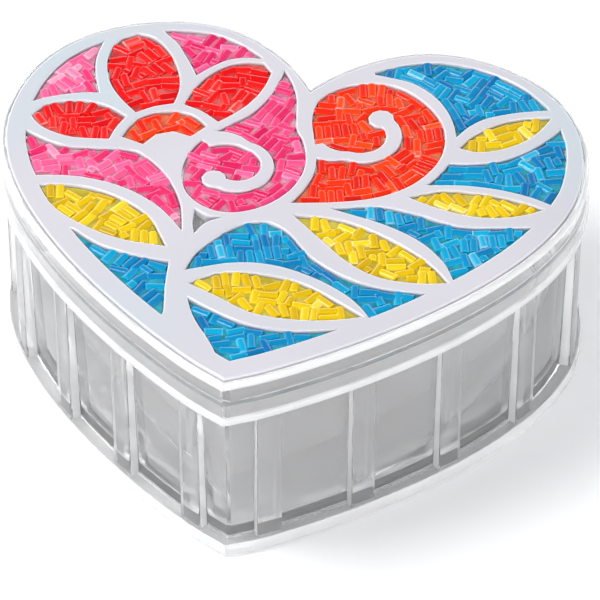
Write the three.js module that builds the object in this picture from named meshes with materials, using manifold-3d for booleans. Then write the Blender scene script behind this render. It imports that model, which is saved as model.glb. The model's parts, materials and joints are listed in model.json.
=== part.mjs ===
import * as THREE from 'three';
import { mergeVertices } from 'three/addons/utils/BufferGeometryUtils.js';
import Module from 'manifold-3d';

const wasm = await Module();
wasm.setup();

// A heart-shaped trinket box of clear moulded plastic: an open base, a lift-off lid,
// a white openwork plate let into the lid, and bead mosaics in the plate's openings.
// Millimetres, +Z up, the heart's tip towards -Y, standing on Z = 0.

// Heart outline of the plate
const plateWidth = 146.3;
const plateDepth = 128.4;

// Gaps left between neighbouring pieces
const fit = 0.3;
const slide = 0.5;

// Base: heights above the table, wall and steps
const baseTop = 50.5;
const floorTop = 5.6;
const wall = 2;
const flangeHeight = 3.8;
const flangeEdge = 0.5;
const footWidth = 4.2;
const footRecess = 2.4;

// How far outlines stand outside the plate's edge, negative inside it
const flangeOut = 1.1;
const wallFootOut = -2.6;
const wallTopOut = -1.1;

// Pilasters of the wall, spaced along the outline from the tip
const pilasterWidth = 6.5;
const pilasterStart = 11.3;
const pilasterPitch = 25.6;
const pilastersEachSide = 8;
const pilasterFootOut = 0.5;
const pilasterTopOut = 0.9;
const pilasterEdge = 0.6;

// Lid: how far its skirt reaches down over the wall, room over the wall, panel and edges
const skirtOverlap = 4.9;
const headroom = 4.8;
const panel = 1.8;
const skirtTopOut = 1.6;
const skirtFootOut = 1.3;
const lidRimOut = 1.8;
const lidRimHeight = 2.2;
const lidEdgeRound = 2;
const seatWidth = 2.2;

// Plate and its openings
const plateThickness = 2.6;
const plateProud = 0.6;
const plateEdgeRound = 0.5;
const rimWidth = 4.6;
const rimShift = 1.7;

// Mosaics: an adhesive bed with bugle beads sunk into it
const bedThickness = 1.4;
const beadLength = 4.7;
const beadWidth = 2.3;
const beadCrown = 1.2;
const beadBelowTop = 0.4;
const beadSpacing = 0.6;

// How many beads are thrown for each stretch of an opening's box as large as a bead
const beadThrows = 32.43;

// Facets
const heartSteps = 26;
const sideStep = 4.6;
const overshoot = 1;

// Heights above the table that follow from the sizes above
const lidFoot = baseTop - skirtOverlap;
const panelTop = baseTop + headroom + panel;
const plateBottom = panelTop + fit;
const plateTop = plateBottom + plateThickness;
const lidTop = plateTop - plateProud;

// The heart and the openwork are drawn on one sheet, which is stretched until the drawn
// heart has the plate's width and depth. Right half of the heart from the tip to the
// notch, as cubic Bezier curves:
const heartCurves = [
  [[0, -75.4], [6.4, -74], [73.15, -30.7], [73.15, 10.1]],
  [[73.15, 10.1], [73.15, 48.2], [40.6, 53], [32.8, 53]],
  [[32.8, 53], [16.8, 53], [3.8, 38.5], [0, 32.3]],
];

const drawnEnds = new THREE.Box2().setFromPoints(heartCurves.flatMap((curve) =>
  [curve[0], curve[3]].map(([x, y]) => new THREE.Vector2(x, y))));
const stretch = new THREE.Vector2(
  plateWidth / 2 / drawnEnds.max.x,
  plateDepth / (drawnEnds.max.y - drawnEnds.min.y),
);

function onPlate([x, y]) {
  return new THREE.Vector2(x, y).multiply(stretch);
}

// Curls: white bands that end in a round head, drawn as an arc about a centre
const curls = {
  left: {
    centre: [-12.9, 0.9],
    from: [142, 13.4, 6.4],
    bend: [80, 8.4, 3],
    to: [-128, 7.1, 4.4],
    head: 3.2,
  },
  right: {
    centre: [15.9, 18.6],
    from: [-152, 14, 7.5],
    bend: [-105, 8.6, 3.4],
    to: [62, 8, 4.4],
    head: 3.4,
  },
};

// Openings of the plate. Each is a ring of sides; a side is a smooth curve through its
// points, it starts where the side before it ends, and the last side ends at the first
// point of the ring. Rings marked 'rim' reach past the open field and are cut off by it.
const openings = {
  pink_corner: {
    colour: 'pink',
    rim: true,
    sides: [
      [[-52.7, 21.9], [-55.2, 29], [-56.4, 36], [-56.4, 46]],
      [[-76, 44], [-76, 12.5], [-71, 14]],
      [[-65.4, 17.4], [-59, 20.4]],
    ],
  },
  red_petal_left: {
    colour: 'red',
    sides: [
      [[-44, 14.2], [-50, 17.2], [-57, 17.8], [-63.4, 15.6], [-67.6, 10.4], [-63.7, 6.3], [-56, 4]],
      [[-46.4, 5], [-45.6, 9.5]],
    ],
  },
  red_petal_centre: {
    colour: 'red',
    sides: [
      [[-33.2, 21.4], [-33.1, 28.6], [-37.2, 38.8], [-43.6, 45.4], [-49.5, 45.8],
        [-53.2, 39], [-51.8, 29], [-47.8, 22.1]],
      [[-41.8, 16.2], [-37.8, 19.3]],
    ],
  },
  red_petal_right: {
    colour: 'red',
    sides: [
      [[-20.6, 16.7], [-15.6, 23], [-12.2, 31], [-11.9, 40.3], [-18.5, 40.6], [-25, 36.2], [-29, 28.6]],
      [[-30.4, 21.6], [-25.7, 20]],
    ],
  },
  orange_arc: {
    colour: 'orange',
    sides: [
      [[-23.2, 14.4], [-27, 17.4], [-32.4, 18.4], [-38.2, 16.4], [-41.8, 12]],
      [[-43.3, 6.4]],
      [[-37.5, 4.7], [-36, 7.9], [-33, 10.5], [-29.5, 10.9]],
      [[-26.3, 9.9]],
    ],
  },
  pink_top: {
    colour: 'pink',
    rim: true,
    sides: [
      [[-29.7, 33.3], [-26.4, 37.4], [-21.5, 41.6], [-10, 44.4]],
      [[-10, 58], [-46, 58], [-43.4, 51]],
      [[-36.8, 44.4], [-32.5, 38.1]],
    ],
  },
  pink_scroll: {
    colour: 'pink',
    curl: 'left',
    sides: [
      [[-8, 39.2], [-9.2, 31], [-12.5, 22.4], [-18, 15.8], [-23, 9.6], [-25.5, 3],
        [-25.4, -5], [-21.5, -12.6], [-13, -16.4], [-4.3, -13.2], [2.2, -5.1], [4.1, 4],
        [2.2, 12.5], [-0.9, 18.4], [-2.2, 26], [-4.5, 33.5]],
    ],
  },
  pink_lower: {
    colour: 'pink',
    rim: true,
    sides: [
      [[-21.3, -24.8], [-23.4, -16.1], [-28.4, -6.9], [-34, -1.2], [-39, 1.6], [-47.5, 1.1],
        [-57.6, 0.3], [-64.6, 2.6], [-72, 5.6]],
      [[-78, -4], [-70, -13]],
      [[-58, -11.2], [-50, -10.3], [-38.2, -12.3], [-28.2, -17.8]],
    ],
  },
  yellow_left: {
    colour: 'yellow',
    sides: [
      [[-23.9, -31.4], [-30.6, -21.4], [-41.3, -15.5], [-52, -13.8]],
      [[-59.6, -15.3], [-54.5, -22.3], [-46.2, -27.4], [-35.4, -30.9]],
    ],
  },
  blue_left: {
    colour: 'blue',
    rim: true,
    sides: [
      [[-22, -36.7], [-30, -36.3], [-39.6, -34.3], [-52, -29]],
      [[-56, -46], [-30, -66], [-20, -58]],
      [[-21, -46]],
    ],
  },
  empty_eye: {
    colour: 'none',
    sides: [
      [[-12.4, -18.3], [-16.4, -18.5]],
      [[-19.6, -16.8], [-19.2, -21]],
      [[-18, -25.4], [-15.8, -20.8]],
    ],
  },
  blue_wave: {
    colour: 'blue',
    rim: true,
    sides: [
      [[46, -36], [30, -36.2], [20.4, -33.6], [11.8, -28.3], [4.5, -20.6], [-1.5, -18], [-7.5, -20.3],
        [-12.4, -26.3], [-16.2, -33]],
      [[-17.3, -38.9], [-6, -34], [4, -33.1], [15.9, -36.3], [25.7, -42], [33, -49]],
      [[48, -48]],
    ],
  },
  yellow_lower: {
    colour: 'yellow',
    sides: [
      [[28.6, -47.2], [20.9, -42.8], [11.3, -38.3], [0, -36.9], [-9.8, -38.8]],
      [[-15.5, -43.5], [-8, -46.6], [1.4, -50.8], [11.4, -51.4], [21, -49.9]],
    ],
  },
  blue_tip: {
    colour: 'blue',
    rim: true,
    sides: [
      [[27, -52], [11, -55.7], [1, -55.2], [-8.3, -51.9]],
      [[-14.6, -48.8], [-11.9, -54.8], [-6.5, -62.3], [1, -72]],
      [[20, -72]],
    ],
  },
  yellow_centre: {
    colour: 'yellow',
    sides: [
      [[46.9, -31.2], [42, -26], [34, -20.6], [23, -15.6], [14, -13.6]],
      [[5.1, -14.3], [12, -20.5], [21.9, -28.8], [30.1, -32.5], [40.1, -32.7]],
    ],
  },
  blue_right: {
    colour: 'blue',
    rim: true,
    sides: [
      [[72, -5.6], [55.8, -8.9], [46.1, -10.4], [35.7, -8.3], [25, -7]],
      [[13.8, -10], [29.1, -13.7], [38.8, -18.5], [46.4, -26.3], [50, -33]],
      [[72, -33]],
    ],
  },
  yellow_right: {
    colour: 'yellow',
    sides: [
      [[65.6, -0.2], [57, 1.9], [48.8, 2.6], [38.9, 1.6]],
      [[31.8, -2.1], [40.1, -4.8], [50.3, -6], [59.9, -3.7]],
    ],
  },
  blue_lobe: {
    colour: 'blue',
    rim: true,
    sides: [
      [[68, 36], [60.4, 23.5], [53.9, 17.2], [46.4, 13.5]],
      [[39.5, 12.3], [37.8, 7.8]],
      [[35.4, 3.2], [45, 4.9], [55, 4.9], [62.5, 3.5], [74, 1]],
      [[80, 20]],
    ],
  },
  yellow_lobe: {
    colour: 'yellow',
    sides: [
      [[61.7, 34.3], [53.9, 32.3], [47.5, 28.3], [43, 23]],
      [[40.9, 18.5], [46, 18], [52, 20.5], [58.4, 26.6]],
    ],
  },
  blue_top: {
    colour: 'blue',
    rim: true,
    sides: [
      [[66, 38.6], [55, 35.4], [48, 32.3], [43, 28.6]],
      [[39.5, 22.6], [37.4, 28.6], [32.8, 35.4], [25.4, 40.6]],
      [[15, 42.2], [13, 56]],
      [[50, 62]],
    ],
  },
  orange_scroll: {
    colour: 'orange',
    curl: 'right',
    sides: [
      [[3.4, -9.8], [15.3, -7.1], [24.7, -3.3], [32.3, 3.4], [36.9, 14], [35.8, 24.8], [29.3, 33.7],
        [19.4, 38.8], [9.6, 36.8], [3.4, 31], [2.4, 23.4], [4.8, 14], [6.9, 5.4], [6.2, -2]],
    ],
  },
};

const finish = {
  clear: { color: '#e9edf0', roughness: 0.06, metalness: 0, transparent: true, opacity: 0.35 },
  white: { color: '#efecf3', roughness: 0.16, metalness: 0 },
  pink: { color: '#e8427d', roughness: 0.12, metalness: 0 },
  red: { color: '#e62420', roughness: 0.12, metalness: 0 },
  orange: { color: '#ee4a1c', roughness: 0.12, metalness: 0 },
  yellow: { color: '#f2cf1d', roughness: 0.12, metalness: 0 },
  blue: { color: '#0a9ad2', roughness: 0.12, metalness: 0 },
};

// Heart outlines
const heartHalf = new THREE.CurvePath();
for (const curve of heartCurves) {
  heartHalf.add(new THREE.CubicBezierCurve(...curve.map(onPlate)));
}

// Half outline at a distance outside the plate's edge, ended on the axis at the tip
// and at the notch, by cutting it there or carrying its last stretch on
function heartHalfAt(out) {
  const steps = heartSteps * 8;
  const moved = [];
  for (let i = 0; i <= steps; i++) {
    const point = heartHalf.getPoint(i / steps);
    const along = heartHalf.getTangent(i / steps);
    moved.push(new THREE.Vector2(point.x + along.y * out, point.y - along.x * out));
  }
  const onSide = moved.filter((point) => point.x > 0.01);
  const ends = [onSide.slice(0, 2), onSide.slice(-2).reverse()];
  const [tip, notch] = ends.map(([first, second]) => {
    const slope = (second.y - first.y) / (second.x - first.x);
    return new THREE.Vector2(0, first.y - first.x * slope);
  });
  return spaced([tip, ...onSide, notch], heartSteps);
}

// Points at even distances along a polyline, both ends kept
function spaced(points, steps) {
  const path = new THREE.CurvePath();
  for (let i = 1; i < points.length; i++) {
    path.add(new THREE.LineCurve(points[i - 1], points[i]));
  }
  return Array.from({ length: steps + 1 }, (_, i) => path.getPoint(i / steps));
}

function heart(out) {
  const right = heartHalfAt(out);
  const left = right.slice(1, -1).reverse().map((point) => new THREE.Vector2(-point.x, point.y));
  return [...right, ...left];
}

// Solid through rings of equal point count, each an outline and a height, with flat ends
function loft(rings) {
  const count = rings[0].outline.length;
  const positions = [];
  const triangles = [];
  for (const { outline, z } of rings) {
    for (const point of outline) {
      positions.push(point.x, point.y, z);
    }
  }
  for (let ring = 1; ring < rings.length; ring++) {
    const low = (ring - 1) * count;
    const high = ring * count;
    for (let i = 0; i < count; i++) {
      const next = (i + 1) % count;
      triangles.push(low + i, low + next, high + next, low + i, high + next, high + i);
    }
  }
  const last = (rings.length - 1) * count;
  for (const [a, b, c] of THREE.ShapeUtils.triangulateShape(rings[0].outline, [])) {
    triangles.push(c, b, a);
  }
  for (const [a, b, c] of THREE.ShapeUtils.triangulateShape(rings.at(-1).outline, [])) {
    triangles.push(last + a, last + b, last + c);
  }
  const geometry = new THREE.BufferGeometry();
  geometry.setAttribute('position', new THREE.Float32BufferAttribute(positions, 3));
  geometry.setIndex(triangles);
  return solid(geometry);
}

function prism(outline, bottom, top) {
  return loft([{ outline, z: bottom }, { outline, z: top }]);
}

function heartSolid(...steps) {
  return loft(steps.map(([out, z]) => ({ outline: heart(out), z })));
}

function solid(geometry) {
  const merged = mergeVertices(geometry, 1e-5);
  return new wasm.Manifold(new wasm.Mesh({
    numProp: 3,
    vertProperties: new Float32Array(merged.attributes.position.array),
    triVerts: new Uint32Array(merged.index.array),
  }));
}

function piece(name, body, look) {
  const { vertProperties, triVerts } = body.getMesh();
  const geometry = new THREE.BufferGeometry();
  geometry.setAttribute('position', new THREE.BufferAttribute(new Float32Array(vertProperties), 3));
  geometry.setIndex(new THREE.BufferAttribute(new Uint32Array(triVerts), 1));
  const mesh = new THREE.Mesh(geometry, new THREE.MeshStandardMaterial(finish[look]));
  mesh.name = name;
  return mesh;
}

// Base: wall, floor, foot ring and pilasters in one moulding
function pilaster(distance, side) {
  const share = distance / heartHalf.getLength();
  const point = heartHalf.getPoint(share);
  const along = heartHalf.getTangent(share);
  const outward = new THREE.Vector2(along.y, -along.x);
  const corner = (across, out) => new THREE.Vector2(
    side * (point.x + along.x * across + outward.x * out),
    point.y + along.y * across + outward.y * out,
  );
  const half = pilasterWidth / 2;
  const section = (out) => {
    const outline = [
      corner(-half, wallFootOut - wall / 2),
      corner(-half, out - pilasterEdge),
      corner(pilasterEdge - half, out),
      corner(half - pilasterEdge, out),
      corner(half, out - pilasterEdge),
      corner(half, wallFootOut - wall / 2),
    ];
    return side > 0 ? outline : outline.reverse();
  };
  return loft([
    { outline: section(pilasterFootOut), z: flangeHeight - flangeEdge },
    { outline: section(pilasterTopOut), z: lidFoot - fit },
  ]);
}

function makeBase() {
  const draft = (wallTopOut - wallFootOut) / (baseTop - flangeHeight);
  const wallOut = (z) => wallFootOut + draft * (z - flangeHeight);
  let base = heartSolid(
    [flangeOut, 0],
    [flangeOut, flangeHeight - flangeEdge],
    [flangeOut - flangeEdge, flangeHeight],
    [wallFootOut, flangeHeight],
    [wallTopOut, baseTop],
  );
  for (let i = 0; i < pilastersEachSide; i++) {
    const distance = pilasterStart + i * pilasterPitch;
    base = base.add(pilaster(distance, 1)).add(pilaster(distance, -1));
  }
  const cavity = heartSolid(
    [wallOut(floorTop) - wall, floorTop],
    [wallOut(baseTop + overshoot) - wall, baseTop + overshoot],
  );
  const foot = heartSolid([flangeOut - footWidth, -overshoot], [flangeOut - footWidth, footRecess]);
  return base.subtract(cavity).subtract(foot);
}

// Lid: skirt over the base's wall, seat ring on top of it, panel and edge round the plate
function makeLid() {
  const shoulder = lidTop - lidEdgeRound;
  const bevel = lidEdgeRound / 3;
  const outside = heartSolid(
    [lidRimOut, lidFoot],
    [lidRimOut, lidFoot + lidRimHeight],
    [skirtFootOut, lidFoot + lidRimHeight + (lidRimOut - skirtFootOut)],
    [skirtTopOut, shoulder],
    [skirtTopOut - bevel, lidTop - bevel],
    [fit + bevel / 2, lidTop],
  );
  const plateSeat = heartSolid([fit, panelTop], [fit, lidTop + overshoot]);
  const skirtInside = wallTopOut + slide;
  const overWall = heartSolid([skirtInside, lidFoot - overshoot], [skirtInside, baseTop + fit]);
  const seatInside = wallTopOut - seatWidth;
  const underPanel = heartSolid([seatInside, baseTop], [seatInside, panelTop - panel]);
  return outside.subtract(plateSeat).subtract(overWall).subtract(underPanel);
}

// Openings: outlines, and the bodies that cut them or fill them
function ring(sides) {
  const outline = [];
  sides.forEach((side, i) => {
    const points = [...side, sides[(i + 1) % sides.length][0]].map(onPlate);
    const flat = points.map((point) => new THREE.Vector3(point.x, point.y, 0));
    const curve = new THREE.CatmullRomCurve3(flat, false, 'centripetal');
    const steps = Math.max(1, Math.round(curve.getLength() / sideStep));
    outline.push(...curve.getSpacedPoints(steps).slice(0, -1));
  });
  const corners = outline.map((point) => new THREE.Vector2(point.x, point.y));
  return THREE.ShapeUtils.isClockWise(corners) ? corners.reverse() : corners;
}

// Ring moved in by a distance, its corners mitred up to a limit
function inset(outline, distance) {
  const mitreLimit = 3;
  const count = outline.length;
  return outline.map((point, i) => {
    const before = point.clone().sub(outline[(i + count - 1) % count]).normalize();
    const after = outline[(i + 1) % count].clone().sub(point).normalize();
    const inward = new THREE.Vector2(-before.y - after.y, before.x + after.x).normalize();
    const lean = Math.max(inward.x * -after.y + inward.y * after.x, 1 / mitreLimit);
    return point.clone().addScaledVector(inward, distance / lean);
  });
}

// Outline of a curl's band: its centre line runs round the centre by angle, radius and width
function curlOutline({ centre, from, bend, to, head }, grow) {
  const legs = [[from, bend, 4], [bend, to, 12]];
  const line = [];
  for (const [start, end, steps] of legs) {
    for (let i = 0; i <= steps; i++) {
      const [angle, radius, width] = start.map((value, k) => value + (end[k] - value) * i / steps);
      const turn = THREE.MathUtils.degToRad(angle);
      line.push({ turn, radius, width });
    }
  }
  const at = (about, turn, radius, out) => onPlate([
    about[0] + Math.cos(turn) * radius,
    about[1] + Math.sin(turn) * radius,
  ]).add(new THREE.Vector2(Math.cos(turn), Math.sin(turn)).multiplyScalar(out));
  const outer = line.map(({ turn, radius, width }) => at(centre, turn, radius + width / 2, grow));
  const inner = line.map(({ turn, radius, width }) => at(centre, turn, radius - width / 2, -grow));
  const band = [...outer, ...inner.reverse()];
  const end = line.at(-1);
  const middle = [
    centre[0] + Math.cos(end.turn) * end.radius,
    centre[1] + Math.sin(end.turn) * end.radius,
  ];
  const headSides = 10;
  const round = Array.from({ length: headSides }, (_, i) =>
    at(middle, 2 * Math.PI * i / headSides, head, grow));
  const dedupe = (outline) => outline.filter((point, i) =>
    point.distanceTo(outline[(i + outline.length - 1) % outline.length]) > 0.05);
  const tidy = dedupe(band);
  return [THREE.ShapeUtils.isClockWise(tidy) ? tidy.reverse() : tidy, round];
}

// Edge of the open field, moved in by a distance
function fieldOutline(grow) {
  return heart(-rimWidth - grow).map((point) => new THREE.Vector2(point.x, point.y + rimShift));
}

// Everything that bounds an opening, moved in by a gap
function region({ sides, rim, curl }, gap) {
  const inside = [inset(ring(sides), gap)];
  if (rim) {
    inside.push(fieldOutline(gap));
  }
  const outside = curl ? curlOutline(curls[curl], gap) : [];
  return { inside, outside };
}

function regionSolid({ inside, outside }, bottom, top) {
  let body = prism(inside[0], bottom, top);
  for (const outline of inside.slice(1)) {
    body = body.intersect(prism(outline, bottom - overshoot, top + overshoot));
  }
  for (const outline of outside) {
    body = body.subtract(prism(outline, bottom - overshoot, top + overshoot));
  }
  return body;
}

function makePlate() {
  let plate = heartSolid(
    [0, plateBottom],
    [0, plateTop - plateEdgeRound],
    [-plateEdgeRound, plateTop],
  );
  for (const opening of Object.values(openings)) {
    plate = plate.subtract(regionSolid(region(opening, 0), plateBottom - overshoot, plateTop + overshoot));
  }
  return plate;
}

// Bead mosaics
function contains(outline, { x, y }) {
  let inside = false;
  outline.forEach((a, i) => {
    const b = outline[(i + 1) % outline.length];
    if ((a.y > y) !== (b.y > y) && x < (b.x - a.x) * (y - a.y) / (b.y - a.y) + a.x) {
      inside = !inside;
    }
  });
  return inside;
}

function beadCorners({ x, y, turn }, grow) {
  const along = new THREE.Vector2(Math.cos(turn), Math.sin(turn));
  const across = new THREE.Vector2(-along.y, along.x);
  const length = beadLength / 2 + grow;
  const width = beadWidth / 2 + grow;
  return [[-1, -1], [0, -1], [1, -1], [1, 1], [0, 1], [-1, 1]].map(([u, v]) => new THREE.Vector2(x, y)
    .addScaledVector(along, u * length)
    .addScaledVector(across, v * width));
}

function apart(first, second) {
  const far = Math.hypot(beadLength, beadWidth) + beadSpacing;
  if (Math.hypot(first.x - second.x, first.y - second.y) > far) {
    return true;
  }
  return [first.turn, first.turn + Math.PI / 2, second.turn, second.turn + Math.PI / 2].some((turn) => {
    const spans = [first, second].map((bead) => beadCorners(bead, beadSpacing / 2)
      .map((point) => point.x * Math.cos(turn) + point.y * Math.sin(turn)));
    return Math.min(...spans[0]) > Math.max(...spans[1]) || Math.min(...spans[1]) > Math.max(...spans[0]);
  });
}

// Beads thrown one by one into an opening, each kept where it lies clear of the rest
function scatter(opening, random) {
  const { inside, outside } = region(opening, 2 * fit);
  const box = new THREE.Box2().setFromPoints(inside[0]);
  const size = box.getSize(new THREE.Vector2());
  const tries = Math.round(beadThrows * size.x * size.y / (beadLength * beadWidth));
  const beads = [];
  for (let i = 0; i < tries; i++) {
    const bead = {
      x: box.min.x + random() * size.x,
      y: box.min.y + random() * size.y,
      turn: random() * Math.PI,
    };
    const corners = beadCorners(bead, 0);
    const fits = corners.every((point) => inside.every((outline) => contains(outline, point))
      && !outside.some((outline) => contains(outline, point)));
    if (fits && beads.every((other) => apart(bead, other))) {
      beads.push(bead);
    }
  }
  return beads;
}

function beadSolid(bead, bottom, top) {
  const [a, , b, c, , d] = beadCorners(bead, 0);
  const drop = (beadWidth - beadCrown) / 2 / beadWidth;
  const crown = [[a, d], [b, c], [c, b], [d, a]].map(([from, to]) => from.clone().lerp(to, drop));
  return loft([{ outline: [a, b, c, d], z: bottom }, { outline: crown, z: top }]);
}

function makeMosaic(opening, random) {
  const bedTop = plateBottom + bedThickness;
  let mosaic = regionSolid(region(opening, fit), plateBottom, bedTop);
  for (const bead of scatter(opening, random)) {
    mosaic = mosaic.add(beadSolid(bead, bedTop - bedThickness / 2, plateTop - beadBelowTop));
  }
  return mosaic;
}

// Repeatable random numbers from 0 to 1
function sequence(seed) {
  let state = seed;
  return () => {
    state = (state * 1664525 + 1013904223) % 4294967296;
    return state / 4294967296;
  };
}

// The origin lies under the middle of the lid, which is the widest piece
const reach = new THREE.Box2().setFromPoints(heart(lidRimOut));
const box = new THREE.Group();
box.position.y = -(reach.min.y + reach.max.y) / 2;
box.add(piece('box_base', makeBase(), 'clear'));
box.add(piece('lid', makeLid(), 'clear'));
box.add(piece('lid_plate', makePlate(), 'white'));
Object.entries(openings).forEach(([name, opening], i) => {
  if (opening.colour !== 'none') {
    box.add(piece(`mosaic_${name}`, makeMosaic(opening, sequence(i + 1)), opening.colour));
  }
});

export default box;
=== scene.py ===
import json
import math
import random

import bmesh
import bpy
import numpy as np
from mathutils import Matrix, Vector


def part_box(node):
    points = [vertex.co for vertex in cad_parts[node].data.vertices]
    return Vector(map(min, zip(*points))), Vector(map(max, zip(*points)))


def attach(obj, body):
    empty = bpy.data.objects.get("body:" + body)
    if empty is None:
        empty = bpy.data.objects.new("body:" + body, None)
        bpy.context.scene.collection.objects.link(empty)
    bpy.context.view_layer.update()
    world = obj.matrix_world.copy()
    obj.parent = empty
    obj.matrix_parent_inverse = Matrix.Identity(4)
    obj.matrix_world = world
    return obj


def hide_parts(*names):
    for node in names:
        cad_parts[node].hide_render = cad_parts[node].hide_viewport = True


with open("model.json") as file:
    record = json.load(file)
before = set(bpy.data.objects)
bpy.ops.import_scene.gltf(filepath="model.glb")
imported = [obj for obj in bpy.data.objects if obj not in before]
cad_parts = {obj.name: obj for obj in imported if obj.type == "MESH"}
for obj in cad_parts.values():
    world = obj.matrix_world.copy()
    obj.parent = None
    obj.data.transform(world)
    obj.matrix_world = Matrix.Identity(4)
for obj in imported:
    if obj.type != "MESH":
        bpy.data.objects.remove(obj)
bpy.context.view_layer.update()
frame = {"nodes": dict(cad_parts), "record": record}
nodes = frame["nodes"]
SLOT_OF = {part["node"]: part["material_slot"] for part in frame["record"]["subparts"]}

MM = 0.001

# Heights and distances of the clear mouldings, in metres, off the frame's own boxes
BASE_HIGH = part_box("box_base")[1]
LID_LOW, LID_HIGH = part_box("lid")
PLATE_LOW, PLATE_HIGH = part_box("lid_plate")
FLANGE_OUT = BASE_HIGH.x - PLATE_HIGH.x
LID_RIM_OUT = LID_HIGH.x - PLATE_HIGH.x
SEAT_GAP = 0.3 * MM

# Base
WALL = 2.0 * MM
WALL_FOOT_OUT = -2.6 * MM
WALL_TOP_OUT = -1.1 * MM
FLANGE_HEIGHT = 3.8 * MM
FLOOR_TOP = 5.6 * MM
FOOT_WIDTH = 4.2 * MM
FOOT_RECESS = 2.4 * MM
EDGE = 0.32 * MM
BASE_STEP = 1.3 * MM

# Pilasters
PILASTER_WIDTH = 6.5 * MM
PILASTER_START = 11.3 * MM
PILASTER_PITCH = 25.6 * MM
PILASTERS_EACH_SIDE = 8
PILASTER_FOOT_OUT = 0.5 * MM
PILASTER_TOP_OUT = 0.9 * MM
PILASTER_TOP_SHARE = 0.85
PILASTER_INSET = 1.0 * MM
PILASTER_MARGIN = 0.1 * MM

# Cross-section of a pilaster: millimetres along from its side, and the share of its height there
PILASTER_EDGE = (
    (-0.14, 0.0),
    (-0.03, 0.035),
    (0.0, 0.12),
    (0.02, 0.86),
    (0.07, 0.95),
    (0.18, 0.99),
    (0.34, 1.0),
)
STEEP_SHARE = 0.5

# Lid
PANEL_TOP = PLATE_LOW.z - SEAT_GAP
PANEL = 1.8 * MM
SKIRT_TOP_OUT = 1.6 * MM
SKIRT_FOOT_OUT = 1.3 * MM
LID_RIM_HEIGHT = 2.2 * MM
LID_ROUND = 2.0 * MM
SLIDE = 0.5 * MM
SEAT_WIDTH = 2.2 * MM
CROWN_SHARE = 0.55
CROWN_ANGLES = (0, 22, 45, 68, 90)
LID_STEP = 1.0 * MM

# Plate
PLATE_ROUND = 0.55 * MM
PLATE_STEP = 0.7 * MM
HALF_STEP = 0.5 * MM
ROUND_STEPS = 4

# Edges between faces that meet at less than these angles, in degrees, are shaded smooth
CLEAR_SMOOTH_ANGLE = 28
FILLED_SMOOTH_ANGLE = 30
LEVEL_NORMAL = 0.9999

# Outline reading: slack of heights, nearness of points, the angle of a corner and the least area
HEIGHT_SLACK = 0.01 * MM
SAME_POINT = 1e-6
SHORTEST_STEP = 0.25 * MM
CORNER_ANGLE = 34
LEAST_AREA = 4 * MM * MM
ON_AXIS = 1e-5
NORMAL_REACH = 0.6 * MM

# How much light the clear plastic lets through, and how much its frosted rims and ribs do
CLEAR_TRANSMISSION = 0.905
FROSTED_TRANSMISSION = 0.55

# Bugle beads and the bed that they are sunk in
BEAD_LENGTH = 4.9 * MM
BEAD_RADIUS = 1.4 * MM
BEAD_BORE = 0.44 * MM
BEAD_CROWD = 0.8
BEAD_FLATNESS = 0.8
BEAD_BELOW_TOP = 0.15 * MM
BEAD_UNEVEN = 0.15 * MM
BEAD_TILT = 0.02
BEAD_LEAST_SHARE = 0.95
BEAD_EDGE_SHARE = 0.1
BEAD_SIDES = 12
BED_THICKNESS = 1.7 * MM
BED_ROUND = 0.05 * MM
MOSAIC_STEP = 1.0 * MM

# The profile's bands that are smooth round a bead: its outside and its bore
ROUND_BANDS = (5, 6, 7, 13)

# Bead packing: the grid's cell, the tries at each share of the length, and how the beads turn
CELL = 0.17 * MM
BORDER = 6 * CELL
HALO = 4 * CELL
TRIES = ((1.0, 60), (0.85, 40), (0.72, 40), (0.6, 40), (0.5, 30), (0.42, 30))
MOST_MISSES = 24
BEADS_PER_TRY = 2
ALIGNED_CHANCE = 0.55
ALIGNED_SPREAD = 0.16
SEED = 7

# Bead tints, from 0, deep, to 1, pale: their middle, spread and most, and the painted highlights that edges
# and ends add, a paler colour standing in for light glinting and coming through there
TINT_MIDDLE = 0.34
TINT_SPREAD = 0.19
TINT_MOST = 0.75
PAINTED_EDGE_HIGHLIGHT = 0.4
PAINTED_END_HIGHLIGHT = 0.25
PAINTED_END_SHARE = 0.25
PALE_SHARE = 0.3
PALER = {"mosaic_pink_corner": 0.35, "mosaic_pink_lower": 0.08}

# Camera, solved from the heart's symmetry and the upright edges of the box
CAMERA_PLACE = Vector((0.2226, -1.0869, 1.0593))
CAMERA_RIGHT = Vector((0.98088036, 0.19460959, -0.00090874))
CAMERA_UP = Vector((-0.13187879, 0.66812106, 0.73227197))
CAMERA_LENS = 360.0
SENSOR = 36.0

# Floor and lights
FLOOR_REACH = 4.0
FLOOR_DROP = 0.2 * MM
LIGHT_TARGET = Vector((0, 0, 0.03))
BOUNCES = 24


def material(name):
    """A new node material and its Principled shader."""
    mat = bpy.data.materials.new(name)
    mat.use_nodes = True
    return mat, mat.node_tree.nodes["Principled BSDF"]


def node_of(tree, kind, **inputs):
    """A new shader node with some of its inputs set."""
    node = tree.nodes.new(kind)
    for name, value in inputs.items():
        node.inputs[name.replace("_", " ")].default_value = value
    return node


def ramp_of(tree, source, *stops):
    """A colour ramp fed by a socket, with stops of (place, colour)."""
    node = tree.nodes.new("ShaderNodeValToRGB")
    elements = node.color_ramp.elements
    while len(elements) < len(stops):
        elements.new(0.5)
    for element, (place, colour) in zip(elements, stops):
        element.position = place
        element.color = (*colour, 1)
    tree.links.new(source, node.inputs["Fac"])
    return node.outputs["Color"]


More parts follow.
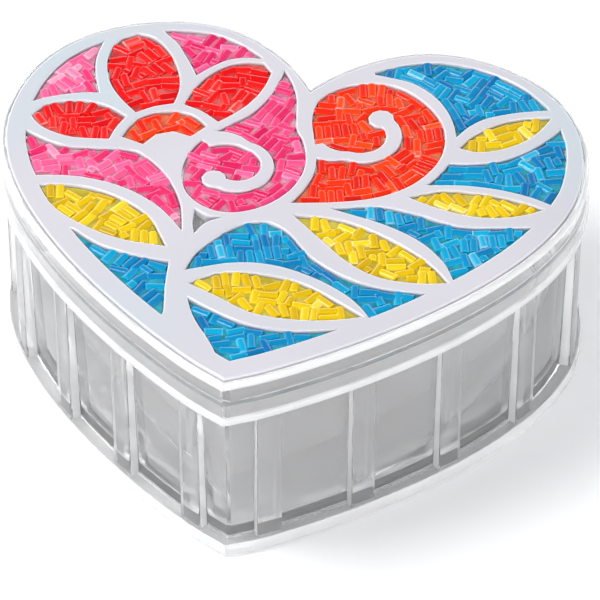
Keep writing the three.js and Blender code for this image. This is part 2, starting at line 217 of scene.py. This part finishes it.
def waves(tree, shader, scale, strength, distance, stretch=(1, 1, 1), detail=2.0):
    """Low bumps from stretched noise, as moulding leaves them, and the noise itself."""
    coord = tree.nodes.new("ShaderNodeTexCoord")
    mapping = node_of(tree, "ShaderNodeMapping", Scale=stretch)
    noise = node_of(tree, "ShaderNodeTexNoise", Scale=scale, Detail=detail)
    bump = node_of(tree, "ShaderNodeBump", Strength=strength, Distance=distance)
    tree.links.new(coord.outputs["Object"], mapping.inputs["Vector"])
    tree.links.new(mapping.outputs["Vector"], noise.inputs["Vector"])
    tree.links.new(noise.outputs["Fac"], bump.inputs["Height"])
    tree.links.new(bump.outputs["Normal"], shader.inputs["Normal"])
    return noise


def clear_plastic(name, transmission):
    """Moulded polystyrene with faint flow lines."""
    mat, shader = material(name)
    tree = mat.node_tree
    shader.inputs["Base Color"].default_value = (1, 1, 1, 1)
    shader.inputs["IOR"].default_value = 1.46
    shader.inputs["Transmission Weight"].default_value = transmission
    noise = waves(tree, shader, scale=120, strength=0.06, distance=0.2 * MM, stretch=(1, 1, 0.25))
    rough = ramp_of(tree, noise.outputs["Fac"], (0.35, (0.004,) * 3), (0.75, (0.025,) * 3))
    tree.links.new(rough, shader.inputs["Roughness"])
    return mat


def white_plastic():
    """Glossy white moulding with a faint lilac and blue cast that drifts across it."""
    mat, shader = material("white_plastic")
    tree = mat.node_tree
    shader.inputs["Coat Weight"].default_value = 0.6
    shader.inputs["Coat Roughness"].default_value = 0.04
    fine = waves(tree, shader, scale=90, strength=0.12, distance=0.3 * MM)
    rough = ramp_of(tree, fine.outputs["Fac"], (0.3, (0.14,) * 3), (0.7, (0.24,) * 3))
    tree.links.new(rough, shader.inputs["Roughness"])
    coord = tree.nodes.new("ShaderNodeTexCoord")
    cast = node_of(tree, "ShaderNodeTexNoise", Scale=14, Detail=1.5)
    tree.links.new(coord.outputs["Object"], cast.inputs["Vector"])
    colour = ramp_of(tree, cast.outputs["Fac"], (0.30, (0.52, 0.58, 0.62)), (0.42, (0.57, 0.56, 0.60)),
                     (0.58, (0.60, 0.58, 0.62)), (0.72, (0.67, 0.63, 0.64)))
    tree.links.new(colour, shader.inputs["Base Color"])
    return mat


def bead_glass(name, deep, middle, light):
    """Tinted glass whose depth of colour changes from bead to bead, made paler at its edges and ends by
    painted highlights.
    """
    mat, shader = material(name)
    tree = mat.node_tree
    shader.inputs["Roughness"].default_value = 0.1
    shader.inputs["IOR"].default_value = 1.45
    shader.inputs["Specular IOR Level"].default_value = 0.35
    tint = tree.nodes.new("ShaderNodeAttribute")
    tint.attribute_name = "tint"
    # The palest stop serves the painted highlights on bead edges and ends, and the paler mosaics.
    pale = tuple(c + PALE_SHARE * (1 - c) for c in light)
    colour = ramp_of(tree, tint.outputs["Fac"], (0.0, deep), (0.4, middle), (0.75, light), (1.0, pale))
    tree.links.new(colour, shader.inputs["Base Color"])
    waves(tree, shader, scale=500, strength=0.2, distance=0.1 * MM)
    return mat


def bed_glue(name, dark, light):
    """Cloudy resin between the beads, tinted with their hue as painted light, standing in for the light that
    comes through them.
    """
    mat, shader = material(name)
    tree = mat.node_tree
    shader.inputs["Roughness"].default_value = 0.25
    noise = waves(tree, shader, scale=380, strength=0.5, distance=0.3 * MM, detail=3.0)
    colour = ramp_of(tree, noise.outputs["Fac"], (0.35, dark), (0.65, light))
    tree.links.new(colour, shader.inputs["Base Color"])
    return mat


# For each colour: a deep, a middle and a light bead, then the dark and light of its bed, whose hue is painted
# light from the beads
TINTS = {
    "pink": (
        ((0.64, 0.008, 0.10), (0.76, 0.035, 0.16), (0.86, 0.14, 0.32)),
        ((0.52, 0.12, 0.22), (0.72, 0.34, 0.44)),
    ),
    "red": (
        ((0.60, 0.001, 0.003), (0.78, 0.004, 0.005), (0.88, 0.02, 0.014)),
        ((0.54, 0.02, 0.02), (0.72, 0.12, 0.10)),
    ),
    "orange": (
        ((0.64, 0.007, 0.001), (0.82, 0.022, 0.001), (0.90, 0.070, 0.006)),
        ((0.58, 0.05, 0.01), (0.76, 0.18, 0.07)),
    ),
    "yellow": (
        ((0.56, 0.35, 0.0), (0.72, 0.48, 0.0), (0.82, 0.61, 0.01)),
        ((0.46, 0.36, 0.01), (0.66, 0.54, 0.07)),
    ),
    "blue": (
        ((0.0, 0.14, 0.37), (0.0, 0.25, 0.49), (0.0, 0.38, 0.62)),
        ((0.0, 0.20, 0.30), (0.02, 0.40, 0.48)),
    ),
}
CLEAR = clear_plastic("clear_plastic", CLEAR_TRANSMISSION)
FROSTED = clear_plastic("frosted_plastic", FROSTED_TRANSMISSION)
WHITE = white_plastic()
GLASS = {}
BEDS = {}
for tone, (bead_colours, bed_colours) in TINTS.items():
    GLASS[tone] = bead_glass(tone + "_glass", *bead_colours)
    BEDS[tone] = bed_glue(tone + "_bed", *bed_colours)


# Outlines off the frame

def flat_loops(node, height):
    """Closed outlines, as arrays of x and y, of a node's level faces at a height."""
    mesh = nodes[node].data
    mesh_bm = bmesh.new()
    mesh_bm.from_mesh(mesh)
    bmesh.ops.remove_doubles(mesh_bm, verts=mesh_bm.verts, dist=SAME_POINT)
    level = [f for f in mesh_bm.faces if all(abs(v.co.z - height) < HEIGHT_SLACK for v in f.verts)]
    counts = {}
    for face in level:
        for edge in face.edges:
            counts[edge] = counts.get(edge, 0) + 1
    border = [e for e, n in counts.items() if n == 1]
    ahead = {}
    for edge in border:
        for vert in edge.verts:
            ahead.setdefault(vert, []).append(edge)
    loops = []
    left = dict.fromkeys(border)
    while left:
        edge = next(iter(left))
        start = vert = edge.verts[0]
        loop = []
        while edge:
            left.pop(edge, None)
            loop.append((vert.co.x, vert.co.y))
            vert = edge.other_vert(vert)
            edge = next((e for e in ahead[vert] if e in left), None)
            if vert == start:
                break
        loops.append(np.array(loop))
    mesh_bm.free()
    return loops


def area(loop):
    """Signed area inside a closed line, positive where it runs anticlockwise."""
    x, y = loop[:, 0], loop[:, 1]
    return 0.5 * float(np.sum(x * np.roll(y, -1) - y * np.roll(x, -1)))


def weld(loop, shortest):
    """The loop without points nearer to the one before than a distance."""
    kept = [loop[0]]
    for point in loop[1:]:
        if np.hypot(*(point - kept[-1])) > shortest:
            kept.append(point)
    if np.hypot(*(kept[-1] - kept[0])) < shortest:
        kept.pop()
    return np.array(kept)


def rounded(loop, corner_angle, step):
    """A smooth closed line through a loop's points that keeps its sharp corners."""
    count = len(loop)
    before = loop - np.roll(loop, 1, axis=0)
    after = np.roll(loop, -1, axis=0) - loop
    cross = before[:, 0] * after[:, 1] - before[:, 1] * after[:, 0]
    turn = np.abs(np.arctan2(cross, (before * after).sum(axis=1)))
    sharp = turn > math.radians(corner_angle)
    out = []
    for i in range(count):
        p1, p2 = loop[i], loop[(i + 1) % count]
        p0 = p1 if sharp[i] else loop[i - 1]
        p3 = p2 if sharp[(i + 1) % count] else loop[(i + 2) % count]
        t1 = (p2 - p0) / 2 if not sharp[i] else (p2 - p1)
        t2 = (p3 - p1) / 2 if not sharp[(i + 1) % count] else (p2 - p1)
        length = np.hypot(*(p2 - p1))
        t1 = t1 / max(np.hypot(*t1), 1e-9) * length
        t2 = t2 / max(np.hypot(*t2), 1e-9) * length
        parts = max(1, round(length / step))
        for k in range(parts):
            t = k / parts
            out.append((2 * t**3 - 3 * t**2 + 1) * p1 + (t**3 - 2 * t**2 + t) * t1
                       + (3 * t**2 - 2 * t**3) * p2 + (t**3 - t**2) * t2)
    return np.array(out)


def outlines_of(node, height, step):
    """Smooth outlines of a node's level faces at a height, the largest first."""
    loops = [weld(loop, SHORTEST_STEP) for loop in flat_loops(node, height)]
    loops.sort(key=lambda loop: -abs(area(loop)))
    return [rounded(loop, CORNER_ANGLE, step) for loop in loops if abs(area(loop)) > LEAST_AREA]


# Heart outlines: the right half of the plate's edge from tip to notch, and rings off it

def right_half():
    """The plate's edge from the tip, anticlockwise, to the notch."""
    loop = outlines_of("lid_plate", PLATE_LOW.z, HALF_STEP)[0]
    if area(loop) < 0:
        loop = loop[::-1]
    tip_depth_weight = 0.2
    tip = int(np.argmin(np.hypot(loop[:, 0], (loop[:, 1] - PLATE_LOW.y) * tip_depth_weight)))
    loop = np.roll(loop, -tip, axis=0)
    past_tip = 3
    notch = past_tip + int(np.argmax(loop[past_tip:, 0] < ON_AXIS))
    return loop[: notch + 1]


HALF = right_half()
HALF_STEPS = np.hypot(*np.diff(HALF, axis=0).T)
HALF_RUN = np.concatenate([[0], np.cumsum(HALF_STEPS)])


def at_run(run):
    """Points and outward normals at distances along the half outline."""
    x = np.interp(run, HALF_RUN, HALF[:, 0])
    y = np.interp(run, HALF_RUN, HALF[:, 1])
    ax = np.interp(run - NORMAL_REACH, HALF_RUN, HALF[:, 0])
    ay = np.interp(run - NORMAL_REACH, HALF_RUN, HALF[:, 1])
    bx = np.interp(run + NORMAL_REACH, HALF_RUN, HALF[:, 0])
    by = np.interp(run + NORMAL_REACH, HALF_RUN, HALF[:, 1])
    length = np.hypot(bx - ax, by - ay)
    return np.stack([x, y], 1), np.stack([(by - ay) / length, -(bx - ax) / length], 1)


def to_axis(moved):
    """A half outline whose ends are drawn to the axis, cut there or carried on."""
    moved = moved.copy()
    slope_points = 3
    forward = list(range(len(moved)))
    for order in (forward, forward[::-1]):
        inside = next(i for i in order if moved[i, 0] > ON_AXIS)
        nxt = order[order.index(inside) + slope_points]
        slope = (moved[nxt, 1] - moved[inside, 1]) / (moved[nxt, 0] - moved[inside, 0])
        meet = (0.0, moved[inside, 1] - slope * moved[inside, 0])
        for i in order[: order.index(inside)]:
            moved[i] = meet
        moved[order[0]] = meet
    return moved


def ring_of(runs, outs):
    """The whole heart's ring of points at runs along its half outline, moved out by a distance at each."""
    points, normals = at_run(runs)
    half = to_axis(points + normals * np.asarray(outs)[:, None])
    other = half[1:-1][::-1] * np.array([-1, 1])
    return np.concatenate([half, other])


def plain_runs(step):
    """Even distances along the half outline."""
    return np.linspace(0, HALF_RUN[-1], round(HALF_RUN[-1] / step) + 1)


def pilaster_runs(step):
    """Distances along the half outline with the share of pilaster height at each."""
    marks = {float(run): 0.0 for run in plain_runs(step)}
    for i in range(PILASTERS_EACH_SIDE):
        middle = PILASTER_START + i * PILASTER_PITCH
        half = PILASTER_WIDTH / 2
        reach = half - PILASTER_EDGE[0][0] * MM + PILASTER_MARGIN
        marks = {run: share for run, share in marks.items() if abs(run - middle) >= reach}
        for along, share in PILASTER_EDGE:
            marks[middle - half + along * MM] = share
            marks[middle + half - along * MM] = share
        for third in range(-2, 3):
            marks[middle + third / 3 * (half - PILASTER_INSET)] = 1.0
    runs = np.array(sorted(marks))
    return runs, np.array([marks[run] for run in runs])


def new_object(name, mesh, mat):
    """An object of a mesh in the scene, with its material."""
    piece = bpy.data.objects.new(name, mesh)
    bpy.context.scene.collection.objects.link(piece)
    mesh.materials.append(mat)
    return piece


def smooth_faces(mesh, angle):
    """Smooth shading with edges kept sharp above an angle, and level faces flat."""
    mesh_bm = bmesh.new()
    mesh_bm.from_mesh(mesh)
    bmesh.ops.remove_doubles(mesh_bm, verts=mesh_bm.verts, dist=2 * SAME_POINT)
    bmesh.ops.dissolve_degenerate(mesh_bm, dist=SAME_POINT, edges=mesh_bm.edges)
    bmesh.ops.recalc_face_normals(mesh_bm, faces=mesh_bm.faces)
    for face in mesh_bm.faces:
        face.smooth = abs(face.normal.z) < LEVEL_NORMAL
    for edge in mesh_bm.edges:
        faces = edge.link_faces
        edge.smooth = len(faces) == 2 and faces[0].normal.angle(faces[1].normal, 0) < math.radians(angle)
    mesh_bm.to_mesh(mesh)
    mesh_bm.free()


def turned_body(name, node, rings, frosted):
    """A closed clear body in a node's box, through rings of equal point count, given as (outline, z).

    Frosted has the faces, as (ring, point) of their first corner, that are frosted."""
    count = len(rings[0][0])
    low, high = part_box(node)
    verts = []
    for outline, z in rings:
        for x, y in outline:
            verts.append((min(max(x, low.x), high.x), min(max(y, low.y), high.y), z))
    faces = []
    for r in range(len(rings) - 1):
        for i in range(count):
            j = (i + 1) % count
            faces.append((r * count + i, r * count + j, (r + 1) * count + j, (r + 1) * count + i))
    faces.append(tuple(reversed(range(count))))
    faces.append(tuple(range((len(rings) - 1) * count, len(rings) * count)))
    mesh = bpy.data.meshes.new(name)
    mesh.from_pydata(verts, [], faces)
    body = new_object(name, mesh, CLEAR)
    mesh.materials.append(FROSTED)
    mesh.polygons.foreach_set("material_index", [int(divmod(i, count) in frosted) for i in range(len(faces))])
    smooth_faces(mesh, CLEAR_SMOOTH_ANGLE)
    return body


def rings_before(*sections):
    """How many rings lie before each section and after the last."""
    return [sum(map(len, sections[:i])) for i in range(len(sections) + 1)]


# Clear mouldings

def make_base():
    """Foot, flange, ribbed wall and floor in one moulding, with frosted flange and pilaster sides."""
    runs, shares = pilaster_runs(BASE_STEP)
    top = BASE_HIGH.z
    draft = (WALL_TOP_OUT - WALL_FOOT_OUT) / (top - FLANGE_HEIGHT)
    pilaster_top = LID_LOW.z - SEAT_GAP

    def wall_at(z):
        return WALL_FOOT_OUT + draft * (z - FLANGE_HEIGHT)

    def level(out, z):
        return ring_of(runs, np.full(len(runs), out)), z

    def ribbed(z, grow=1.0):
        share = (z - FLANGE_HEIGHT) / (pilaster_top - FLANGE_HEIGHT)
        pilaster = PILASTER_FOOT_OUT + share * (PILASTER_TOP_OUT - PILASTER_FOOT_OUT)
        return ring_of(runs, wall_at(z) + (pilaster - wall_at(z)) * shares * grow), z

    recess = FLANGE_OUT - FOOT_WIDTH
    foot = [
        level(recess - EDGE, FOOT_RECESS),
        level(recess, FOOT_RECESS - EDGE),
        level(recess, EDGE),
        level(recess + EDGE, 0),
    ]
    flange = [
        level(FLANGE_OUT - EDGE, 0),
        level(FLANGE_OUT, EDGE),
        level(FLANGE_OUT, FLANGE_HEIGHT - EDGE),
        level(FLANGE_OUT - 0.3 * EDGE, FLANGE_HEIGHT - 0.3 * EDGE),
        level(FLANGE_OUT - EDGE, FLANGE_HEIGHT),
    ]
    ribs = [
        ribbed(FLANGE_HEIGHT),
        ribbed(FLANGE_HEIGHT + EDGE),
        ribbed(pilaster_top - EDGE),
        ribbed(pilaster_top, PILASTER_TOP_SHARE),
    ]
    wall = [
        ribbed(pilaster_top, 0.0),
        level(WALL_TOP_OUT, top - EDGE),
        level(WALL_TOP_OUT - EDGE, top),
        level(WALL_TOP_OUT - WALL + EDGE, top),
        level(WALL_TOP_OUT - WALL, top - EDGE),
        level(wall_at(FLOOR_TOP) - WALL, FLOOR_TOP + 2 * EDGE),
        level(wall_at(FLOOR_TOP) - WALL - 0.6 * EDGE, FLOOR_TOP + 0.6 * EDGE),
        level(wall_at(FLOOR_TOP) - WALL - 2 * EDGE, FLOOR_TOP),
    ]
    last = len(runs) - 1
    sides = [i for i in range(last) if abs(shares[i + 1] - shares[i]) > STEEP_SHARE]
    both = sides + [2 * last - 1 - i for i in sides]
    _, first, ribbed_first, wall_first, _ = rings_before(foot, flange, ribs, wall)
    frosted = {(r, i) for r in range(first, ribbed_first - 1) for i in range(2 * last)}
    frosted |= {(r, i) for r in range(ribbed_first, wall_first - 1) for i in both}
    base = turned_body("clear_base", "box_base", foot + flange + ribs + wall, frosted)
    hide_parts("box_base")
    return base


def make_lid():
    """Panel, seat, skirt and rim in one moulding, with frosted rim and crown."""
    runs = plain_runs(LID_STEP)
    low, top = LID_LOW.z, LID_HIGH.z
    shoulder = top - LID_ROUND
    crown_width = CROWN_SHARE * (SKIRT_TOP_OUT - SEAT_GAP)

    def level(out, z):
        return ring_of(runs, np.full(len(runs), out)), z

    inside = WALL_TOP_OUT + SLIDE
    seat = WALL_TOP_OUT - SEAT_WIDTH
    over_wall = BASE_HIGH.z + SEAT_GAP
    under = PANEL_TOP - PANEL

    def crown_at(degrees):
        turn = math.radians(degrees)
        out = SKIRT_TOP_OUT - crown_width * (1 - math.cos(turn))
        return level(out, shoulder + LID_ROUND * math.sin(turn))

    inner = [
        level(seat - EDGE, under),
        level(seat, under - EDGE),
        level(seat, over_wall + EDGE / 2),
        level(seat + EDGE / 2, over_wall),
        level(inside - EDGE, over_wall),
        level(inside, over_wall - EDGE),
        level(inside, low + EDGE),
        level(inside + EDGE / 2, low),
    ]
    rim = [
        level(LID_RIM_OUT - EDGE, low),
        level(LID_RIM_OUT - EDGE / 3, low + EDGE / 3),
        level(LID_RIM_OUT, low + EDGE),
        level(LID_RIM_OUT, low + LID_RIM_HEIGHT - EDGE),
        level(LID_RIM_OUT - EDGE / 3, low + LID_RIM_HEIGHT - EDGE / 3),
        level(SKIRT_FOOT_OUT + EDGE / 2, low + LID_RIM_HEIGHT),
        level(SKIRT_FOOT_OUT, low + LID_RIM_HEIGHT + EDGE / 2),
    ]
    crown = [
        *map(crown_at, CROWN_ANGLES),
        level(SEAT_GAP + EDGE / 2, top - EDGE / 4),
        level(SEAT_GAP, top - EDGE),
    ]
    seat_foot = [level(SEAT_GAP, PANEL_TOP)]
    _, rim_first, crown_first, seat_first, _ = rings_before(inner, rim, crown, seat_foot)
    frosted_rows = [*range(rim_first, crown_first - 1), *range(crown_first, seat_first)]
    frosted = {(r, i) for r in frosted_rows for i in range(2 * (len(runs) - 1))}
    lid = turned_body("clear_lid", "lid", inner + rim + crown + seat_foot, frosted)
    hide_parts("lid")
    return lid


# Openwork plate

def filled_plate(name, loops, low, high, radius, mat):
    """A flat body with round edges from outlines: the first outside, the rest holes."""
    curve = bpy.data.curves.new(name, "CURVE")
    curve.dimensions = "2D"
    curve.fill_mode = "BOTH"
    curve.extrude = (high - low) / 2 - radius
    curve.bevel_depth = radius
    curve.bevel_resolution = ROUND_STEPS
    curve.offset = -radius
    for loop in loops:
        spline = curve.splines.new("POLY")
        spline.points.add(len(loop) - 1)
        spline.use_cyclic_u = True
        for point, (x, y) in zip(spline.points, loop):
            point.co = (x, y, 0, 1)
    temporary = bpy.data.objects.new(name + "_curve", curve)
    bpy.context.scene.collection.objects.link(temporary)
    temporary.location.z = (low + high) / 2
    bpy.context.view_layer.update()
    graph = bpy.context.evaluated_depsgraph_get()
    mesh = bpy.data.meshes.new_from_object(temporary.evaluated_get(graph))
    mesh.transform(temporary.matrix_world)
    bpy.data.objects.remove(temporary)
    bpy.data.curves.remove(curve)
    mesh.materials.clear()
    smooth_faces(mesh, FILLED_SMOOTH_ANGLE)
    return new_object(name, mesh, mat)


def make_plate():
    """The white plate with all its openings."""
    loops = outlines_of("lid_plate", PLATE_LOW.z, PLATE_STEP)
    plate = filled_plate("openwork_plate", loops, PLATE_LOW.z, PLATE_HIGH.z, PLATE_ROUND, WHITE)
    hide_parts("lid_plate")
    return plate


# Bead mosaics

def inside_loop(loop, points):
    """Which points lie inside a closed line."""
    x, y = points[:, 0:1], points[:, 1:2]
    ax, ay = loop[:, 0], loop[:, 1]
    bx, by = np.roll(ax, -1), np.roll(ay, -1)
    crosses = (ay > y) != (by > y)
    with np.errstate(divide="ignore", invalid="ignore"):
        left = x < (bx - ax) * (y - ay) / (by - ay) + ax
    return (np.count_nonzero(crosses & left, axis=1) % 2) == 1


def bead_mask(turn, length, width, half):
    """Cells that a bead covers, on a square grid that reaches half cells each way from its middle."""
    axis = np.arange(-half, half + 1) * CELL
    x, y = np.meshgrid(axis, axis, indexing="ij")
    along = np.abs(x * math.cos(turn) + y * math.sin(turn))
    across = np.abs(-x * math.sin(turn) + y * math.cos(turn))
    return (along <= length / 2) & (across <= width / 2)


def sum_under(grid, mask):
    """For each cell, how much of the grid lies under the mask when it is centred there."""
    shape = [1 << (n + mask.shape[0]).bit_length() for n in grid.shape]
    spectrum = np.fft.rfft2(grid, shape) * np.fft.rfft2(mask[::-1, ::-1].astype(float), shape)
    full = np.fft.irfft2(spectrum, shape)
    low = mask.shape[0] // 2
    return full[low:low + grid.shape[0], low:low + grid.shape[1]]


def pack_beads(loop, rng):
    """Beads set one against the other: each goes where it fits and touches the most."""
    low = loop.min(axis=0) - BORDER
    count = np.ceil((loop.max(axis=0) + BORDER - low) / CELL).astype(int)
    across, up = (low[k] + np.arange(count[k]) * CELL for k in (0, 1))
    x, y = np.meshgrid(across, up, indexing="ij")
    free = inside_loop(loop, np.stack([x.ravel(), y.ravel()], 1)).reshape(count)
    taken = (~free).astype(float)
    spare_cells = 3
    half = math.ceil(BEAD_LENGTH / CELL / 2) + spare_cells
    first_turn = rng.uniform(0, math.pi)
    beads = []
    for shrink, tries in TRIES:
        length, width = BEAD_LENGTH * shrink * BEAD_CROWD, 2 * BEAD_RADIUS * BEAD_CROWD
        misses = 0
        for _ in range(tries):
            if rng.random() < ALIGNED_CHANCE:
                turn = first_turn + rng.choice((0, math.pi / 2)) + rng.gauss(0, ALIGNED_SPREAD)
            else:
                turn = rng.uniform(0, math.pi)
            body = bead_mask(turn, length, width, half)
            halo = bead_mask(turn, length + HALO, width + HALO, half) & ~body
            room = sum_under(taken, body) < 0.5
            if not room.any():
                misses += 1
                if misses > MOST_MISSES:
                    break
                continue
            touch = sum_under(taken, halo) + rng.uniform(0, 4)
            for _ in range(BEADS_PER_TRY):
                if not room.any():
                    break
                i, j = np.unravel_index(np.argmax(np.where(room, touch, -1)), room.shape)
                part = taken[i - half:i + half + 1, j - half:j + half + 1]
                if part.shape == body.shape and part[body].max() < 0.5:
                    part[body] = 1
                    beads.append((x[i, j], y[i, j], turn, shrink))
                room[max(0, i - half):i + half + 1, max(0, j - half):j + half + 1] = False
    return beads


def bead_rings(length, radius, bore):
    """Profile of a bugle bead from one mouth round the outside to the other, (along, radius)."""
    edge = BEAD_EDGE_SHARE * radius
    half = length / 2
    mouth = [
        (half - edge * 4, radius),
        (half - edge, radius),
        (half - edge * 0.4, radius - edge * 0.3),
        (half, radius - edge),
        (half, bore + edge),
        (half - edge * 0.3, bore * 1.05),
        (half - edge * 2, bore),
    ]
    return [(-along, r) for along, r in reversed(mouth)] + mouth


def make_beads(name, loop, mat, paler, rng):
    """One mesh of all the beads in an outline, each with its own depth of colour, and painted highlights on
    its edges and ends.
    """
    sides = BEAD_SIDES
    verts, faces, tints_and_painted_highlights = [], [], []
    middle = PLATE_HIGH.z - BEAD_BELOW_TOP - BEAD_RADIUS * BEAD_FLATNESS
    for x, y, turn, shrink in pack_beads(loop, rng):
        length = BEAD_LENGTH * shrink * rng.uniform(BEAD_LEAST_SHARE, 1.0)
        radius = BEAD_RADIUS * rng.uniform(BEAD_LEAST_SHARE, 1.0)
        profile = bead_rings(length, radius, BEAD_BORE)
        rings = len(profile)
        tilt = rng.gauss(0, BEAD_TILT)
        height = middle - rng.uniform(0, BEAD_UNEVEN)
        place = (Matrix.Translation((x, y, height)) @ Matrix.Rotation(turn, 4, "Z")
                 @ Matrix.Rotation(tilt, 4, "Y"))
        first = len(verts)
        tint = paler + min(TINT_MOST, max(0.0, rng.gauss(TINT_MIDDLE, TINT_SPREAD)))
        for along, r in profile:
            # Painted highlights: the ends and the long sides of each bead are made paler, standing in for
            # light glinting and coming through there.
            painted_end_highlight = PAINTED_END_HIGHLIGHT if abs(along) > length / 2 - radius * PAINTED_END_SHARE else 0.0
            for k in range(sides):
                angle = 2 * math.pi * k / sides
                point = Vector((along, r * math.cos(angle), r * math.sin(angle) * BEAD_FLATNESS))
                verts.append(tuple(place @ point))
                tints_and_painted_highlights.append(tint + max(painted_end_highlight, PAINTED_EDGE_HIGHLIGHT * (1 - abs(math.sin(angle)))))
        for i in range(rings):
            a, b = first + i * sides, first + ((i + 1) % rings) * sides
            for k in range(sides):
                m = (k + 1) % sides
                faces.append((a + k, b + k, b + m, a + m))
    mesh = bpy.data.meshes.new(name)
    mesh.from_pydata(verts, [], faces)
    for polygon in mesh.polygons:
        polygon.use_smooth = polygon.index // sides % rings in ROUND_BANDS
    # This attribute holds each bead's own depth of colour with the painted highlights added.
    layer = mesh.attributes.new("tint", "FLOAT", "POINT")
    layer.data.foreach_set("value", tints_and_painted_highlights)
    return new_object(name, mesh, mat)


def make_mosaic(node, rng):
    """The bed and the beads that take the place of a mosaic's solid."""
    colour = SLOT_OF[node]
    loop = outlines_of(node, PLATE_LOW.z, MOSAIC_STEP)[0]
    title = node.replace("mosaic_", "")
    bed_top = PLATE_LOW.z + BED_THICKNESS
    bed = filled_plate("bed_" + title, [loop], PLATE_LOW.z, bed_top, BED_ROUND, BEDS[colour])
    beads = make_beads("beads_" + title, loop, GLASS[colour], PALER.get(node, 0.0), rng)
    for piece in (bed, beads):
        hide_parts(node)
        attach(piece, "root")


# Stage

def make_floor():
    """A wide sheet of white paper just under the box."""
    mesh = bpy.data.meshes.new("floor")
    corners = [(x * FLOOR_REACH, y * FLOOR_REACH, 0) for x, y in ((-1, -1), (1, -1), (1, 1), (-1, 1))]
    mesh.from_pydata(corners, [], [(0, 1, 2, 3)])
    mat, shader = material("floor_paper")
    shader.inputs["Base Color"].default_value = (0.985, 0.985, 0.985, 1)
    shader.inputs["Roughness"].default_value = 0.6
    floor = new_object("floor", mesh, mat)
    floor.location.z = -FLOOR_DROP


def make_studio():
    """Pale light from all sides and a darker sky overhead, with the bounces that clear plastic needs."""
    world = bpy.data.worlds.new("studio")
    bpy.context.scene.world = world
    world.use_nodes = True
    tree = world.node_tree
    background = tree.nodes["Background"]
    coord = tree.nodes.new("ShaderNodeTexCoord")
    split = tree.nodes.new("ShaderNodeSeparateXYZ")
    tree.links.new(coord.outputs["Generated"], split.inputs["Vector"])
    sky = ramp_of(tree, split.outputs["Z"], (0.0, (1.0, 1.0, 1.0)), (0.40, (0.94, 0.95, 0.97)),
                  (0.52, (0.22, 0.225, 0.235)), (0.72, (0.12, 0.123, 0.13)), (1.0, (0.10, 0.103, 0.11)))
    tree.links.new(sky, background.inputs["Color"])
    side = ramp_of(tree, split.outputs["X"], (0.0, (2.7, 2.7, 2.7)), (1.0, (2.2, 2.2, 2.2)))
    tree.links.new(side, background.inputs["Strength"])
    scene = bpy.context.scene
    scene.view_settings.view_transform = "Standard"
    scene.cycles.max_bounces = BOUNCES
    scene.cycles.transmission_bounces = BOUNCES
    scene.cycles.glossy_bounces = BOUNCES // 2


def area_light(name, place, size, power):
    """A soft lamp of a width and height, turned to the box."""
    light = bpy.data.lights.new(name, "AREA")
    light.shape = "RECTANGLE"
    light.size, light.size_y = size
    light.energy = power
    lamp = bpy.data.objects.new(name, light)
    bpy.context.scene.collection.objects.link(lamp)
    lamp.location = place
    lamp.rotation_euler = (LIGHT_TARGET - Vector(place)).to_track_quat("-Z", "Y").to_euler()


def make_lights():
    """A key lamp high on the left and a fill lamp low in front."""
    area_light("key", place=(-0.46, -0.12, 0.82), size=(0.36, 0.36), power=4.6)
    area_light("fill", place=(0.45, -0.85, 0.42), size=(0.7, 0.5), power=2.2)


def make_camera():
    """A far camera with a long lens, at its solved place."""
    data = bpy.data.cameras.new("camera")
    data.lens = CAMERA_LENS
    data.sensor_width = SENSOR
    data.clip_end = 20
    camera = bpy.data.objects.new("camera", data)
    bpy.context.scene.collection.objects.link(camera)
    back = CAMERA_RIGHT.cross(CAMERA_UP)
    turn = Matrix((CAMERA_RIGHT, CAMERA_UP, back)).transposed().to_4x4()
    camera.matrix_world = Matrix.Translation(CAMERA_PLACE) @ turn
    bpy.context.scene.camera = camera


make_camera()
make_floor()
make_studio()
make_lights()
for piece, slot in ((make_base(), "clear"), (make_lid(), "clear"), (make_plate(), "white")):
    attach(piece, "root")
generator = random.Random(SEED)
for node in sorted(nodes):
    if node.startswith("mosaic_"):
        make_mosaic(node, generator)
